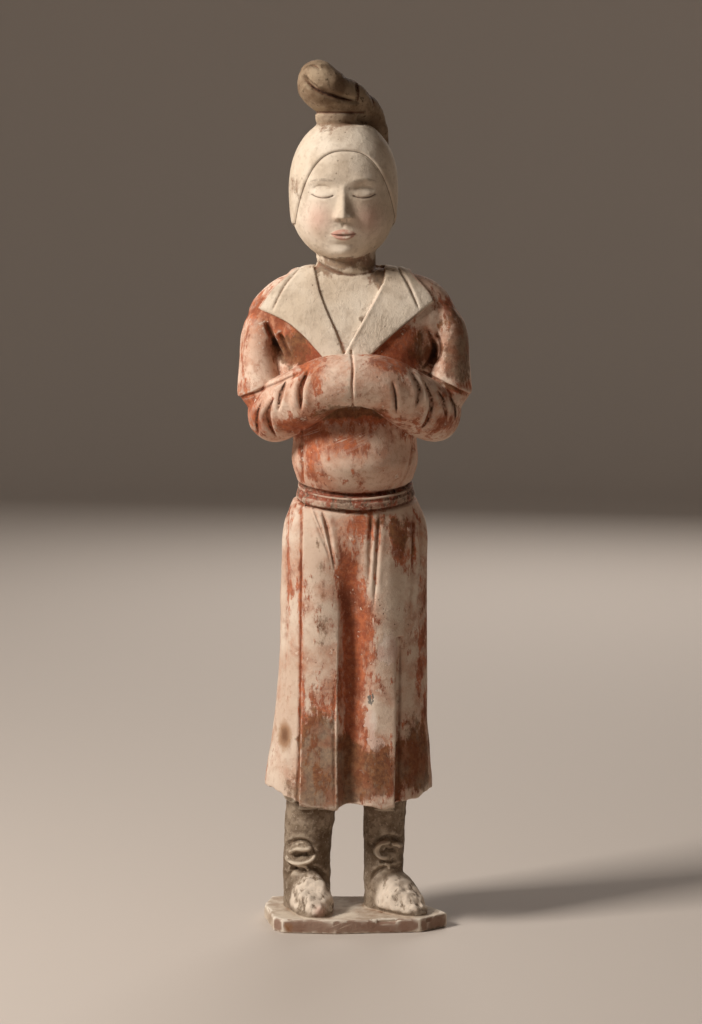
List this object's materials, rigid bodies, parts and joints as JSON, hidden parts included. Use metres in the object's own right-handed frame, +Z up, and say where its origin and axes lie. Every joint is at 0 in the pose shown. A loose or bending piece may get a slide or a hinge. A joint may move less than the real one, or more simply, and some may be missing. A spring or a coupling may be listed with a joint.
{
  "type": "painted pottery tomb figure",
  "caption": "Standing robed attendant in worn red-painted earthenware, hands joined in wide sleeves, hair in a leaning topknot, booted feet fixed to a thin clay plate; stands by its own weight.",
  "frame": {"origin": "on the underside of the base plate, below the figure's standing axis", "axes": "+Z up along the standing figure, -Y the way the figure faces, +X to the right of someone looking at its face"},
  "size_m": [0.1136, 0.076, 0.4204],
  "materials": {
    "painted_earthenware": "matte low-fired clay with off-white slip and worn orange-red pigment"
  },
  "bodies": {
    "root": {"tomb_figure": "painted_earthenware"}
  },
  "joints": []
}
